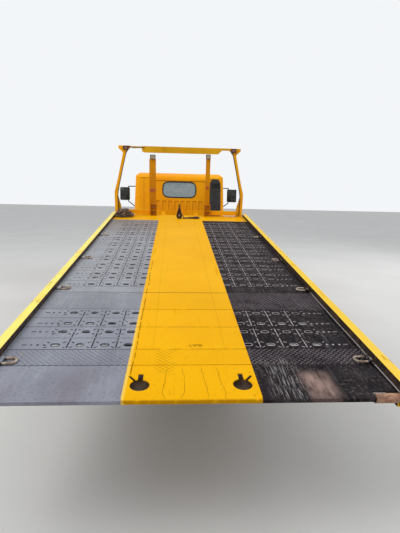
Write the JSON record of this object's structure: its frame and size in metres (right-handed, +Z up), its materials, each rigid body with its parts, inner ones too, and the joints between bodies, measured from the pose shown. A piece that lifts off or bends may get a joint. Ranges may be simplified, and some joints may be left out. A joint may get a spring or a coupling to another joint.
{
  "type": "flatbed tow truck",
  "caption": "Cab-over light truck whose tilting frame carries a sliding flat deck with keyholes, a gantry and a winch, for loading and carrying vehicles.",
  "frame": {"origin": "on the ground under the middle of the truck's length and width, as it stands with its bed tilted and slid back", "axes": "+X to the truck's right, +Y towards its front, +Z up"},
  "size_m": [2.796, 8.2199, 2.5845],
  "materials": {
    "cab_yellow": "gloss",
    "bed_yellow": "gloss, worn",
    "deck_dark": "worn satin",
    "chassis_black": "satin",
    "wheel_paint": "satin",
    "tyre_rubber": "matte",
    "glass": "clear",
    "lamp_red": "gloss",
    "lamp_clear": "gloss",
    "trim_black": "matte",
    "seat_cloth": "woven",
    "rusty_steel": "rusted",
    "cylinder_paint": "satin",
    "rod_chrome": "polished",
    "cast_grey": "rough"
  },
  "bodies": {
    "chassis": {"chassis_frame": "chassis_black", "leaf_springs": "chassis_black", "front_axle": "chassis_black", "rear_axle": "chassis_black", "propeller_shaft": "chassis_black", "engine_and_gearbox": "cast_grey", "front_bumper": "cab_yellow", "fuel_tank": "chassis_black", "battery_and_air_tank": "chassis_black", "exhaust": "rusty_steel", "side_guards": "bed_yellow", "rear_mudguards": "trim_black", "rear_lamp_bar": "bed_yellow", "tail_lamps": "lamp_red"},
    "tilt_frame": {"tilt_frame": "chassis_black", "push_cylinder": "cylinder_paint"},
    "lift_barrels": {"lift_barrels": "cylinder_paint"},
    "lift_rods": {"lift_rods": "rod_chrome"},
    "bed": {"push_rod": "rod_chrome", "bed_frame": "chassis_black", "deck_strip": "bed_yellow", "deck_plates": "deck_dark", "tail_rollers": "rusty_steel", "side_rails": "bed_yellow", "tie_down_rings": "rusty_steel", "gantry_posts": "bed_yellow", "gantry_beam": "bed_yellow", "bed_lamps": "lamp_red", "inner_posts": "bed_yellow", "front_bars": "bed_yellow", "winch": "cast_grey", "chain_pile": "rusty_steel"},
    "cab": {"cab_roof": "cab_yellow", "cab_back": "cab_yellow", "cab_front": "cab_yellow", "cab_sides": "cab_yellow", "cab_glass": "glass", "cab_floor": "chassis_black", "cab_steps": "chassis_black", "headlamps": "lamp_clear", "mirrors": "trim_black", "air_intake": "trim_black", "cab_seats": "seat_cloth", "cab_interior": "trim_black"},
    "steering_wheel": {"steering_wheel": "trim_black"},
    "door_right": {"door_right": "cab_yellow", "door_glass_right": "glass"},
    "door_left": {"door_left": "cab_yellow", "door_glass_left": "glass"},
    "knuckle_right": {"knuckle_right": "chassis_black"},
    "knuckle_left": {"knuckle_left": "chassis_black"},
    "front_wheel_right": {"front_wheel_right": "wheel_paint", "front_tyre_right": "tyre_rubber"},
    "front_wheel_left": {"front_wheel_left": "wheel_paint", "front_tyre_left": "tyre_rubber"},
    "rear_wheels_right": {"rear_wheels_right": "wheel_paint", "rear_tyres_right": "tyre_rubber"},
    "rear_wheels_left": {"rear_wheels_left": "wheel_paint", "rear_tyres_left": "tyre_rubber"}
  },
  "joints": [
    {"name": "bed_tilt", "type": "hinge", "parent": "chassis", "child": "tilt_frame", "pos_m": [0, -2.1, 0.7], "axis": [1, 0, 0], "range_deg": [-7.26, 7.24]},
    {"name": "bed_slide", "type": "slide", "parent": "tilt_frame", "child": "bed", "axis": [0, -0.992, -0.1263], "range_m": [-0.95, 2]},
    {"name": "lift_barrel_swing", "type": "hinge", "parent": "chassis", "child": "lift_barrels", "pos_m": [0, -0.2, 0.5], "axis": [1, 0, 0], "range_deg": [-16, 16]},
    {"name": "lift_rod_extend", "type": "slide", "parent": "lift_barrels", "child": "lift_rods", "axis": [0, 0.8735, 0.4868], "range_m": [-0.16, 0.16]},
    {"name": "cab_tilt", "type": "hinge", "parent": "chassis", "child": "cab", "pos_m": [0, 3.885, 0.7], "axis": [-1, 0, 0], "range_deg": [0, 45]},
    {"name": "door_right_swing", "type": "hinge", "parent": "cab", "child": "door_right", "pos_m": [0.933, 3.898, 1.3], "axis": [0, 0, 1], "range_deg": [0, 65]},
    {"name": "door_left_swing", "type": "hinge", "parent": "cab", "child": "door_left", "pos_m": [-0.933, 3.898, 1.3], "axis": [0, 0, -1], "range_deg": [0, 65]},
    {"name": "steer_left", "type": "hinge", "parent": "chassis", "child": "knuckle_left", "pos_m": [-0.655, 3.04, 0.388], "axis": [0, 0, 1], "range_deg": [-35, 35]},
    {"name": "steer_right", "type": "hinge", "parent": "chassis", "child": "knuckle_right", "pos_m": [0.655, 3.04, 0.388], "axis": [0, 0, 1], "range_deg": [-35, 35]},
    {"name": "steering_wheel_turn", "type": "hinge", "parent": "cab", "child": "steering_wheel", "pos_m": [-0.54, 3.545, 1.403], "axis": [0, -0.5534, 0.8329], "range_deg": [-700, 700]},
    {"name": "front_wheel_left_spin", "type": "hinge", "parent": "knuckle_left", "child": "front_wheel_left", "pos_m": [-0.78, 3.04, 0.388], "axis": [1, 0, 0], "continuous": true},
    {"name": "front_wheel_right_spin", "type": "hinge", "parent": "knuckle_right", "child": "front_wheel_right", "pos_m": [0.78, 3.04, 0.388], "axis": [1, 0, 0], "continuous": true},
    {"name": "rear_wheels_left_spin", "type": "hinge", "parent": "chassis", "child": "rear_wheels_left", "pos_m": [-0.75, -0.88, 0.388], "axis": [1, 0, 0], "continuous": true},
    {"name": "rear_wheels_right_spin", "type": "hinge", "parent": "chassis", "child": "rear_wheels_right", "pos_m": [0.75, -0.88, 0.388], "axis": [1, 0, 0], "continuous": true}
  ],
  "couplings": [
    {"joint": "lift_barrel_swing", "follows": "bed_tilt", "ratio": 1.9686},
    {"joint": "lift_rod_extend", "follows": "bed_tilt", "m_per_rad": 1.0798},
    {"joint": "steer_right", "follows": "steer_left", "ratio": 1},
    {"joint": "steering_wheel_turn", "follows": "steer_left", "ratio": 19.5}
  ]
}
